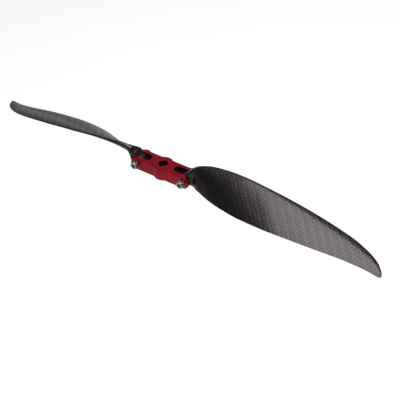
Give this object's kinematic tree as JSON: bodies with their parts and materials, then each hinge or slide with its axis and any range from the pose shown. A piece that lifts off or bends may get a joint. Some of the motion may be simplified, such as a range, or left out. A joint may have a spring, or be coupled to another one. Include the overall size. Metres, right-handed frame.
{
  "type": "folding propeller",
  "caption": "Two-blade folding propeller: scimitar carbon-fibre blades hinged on pivot screws in the fork slots of an anodised aluminium hub yoke.",
  "frame": {"origin": "centre of the shaft bore on the hub's back face, which is also the surface the propeller lies on", "axes": "+Z forward along the propeller shaft; +X along the hub arms, towards the right blade, whose leading edge faces +Y"},
  "size_m": [0.33, 0.0312, 0.0187],
  "materials": {
    "red_anodised_aluminium": "red anodised, satin, fine milling lines",
    "bright_steel": "bright zinc-plated steel",
    "carbon_fibre": "2x2 twill carbon fibre under clear gloss resin",
    "brass": "turned brass"
  },
  "bodies": {
    "hub": {"hub_yoke": "red_anodised_aluminium", "pivot_screw_right": "bright_steel", "head_washer_right": "bright_steel", "nut_washer_right": "bright_steel", "pivot_nut_right": "bright_steel", "pivot_screw_left": "bright_steel", "head_washer_left": "bright_steel", "nut_washer_left": "bright_steel", "pivot_nut_left": "bright_steel"},
    "blade_right": {"blade_right": "carbon_fibre", "root_bush_right": "brass"},
    "blade_left": {"blade_left": "carbon_fibre", "root_bush_left": "brass"}
  },
  "joints": [
    {"name": "fold_right", "type": "hinge", "parent": "hub", "child": "blade_right", "pos_m": [0.02, 0, 0.005], "axis": [0, 1, 0], "range_deg": [-12, 88]},
    {"name": "fold_left", "type": "hinge", "parent": "hub", "child": "blade_left", "pos_m": [-0.02, 0, 0.005], "axis": [0, -1, 0], "range_deg": [-12, 88]}
  ]
}
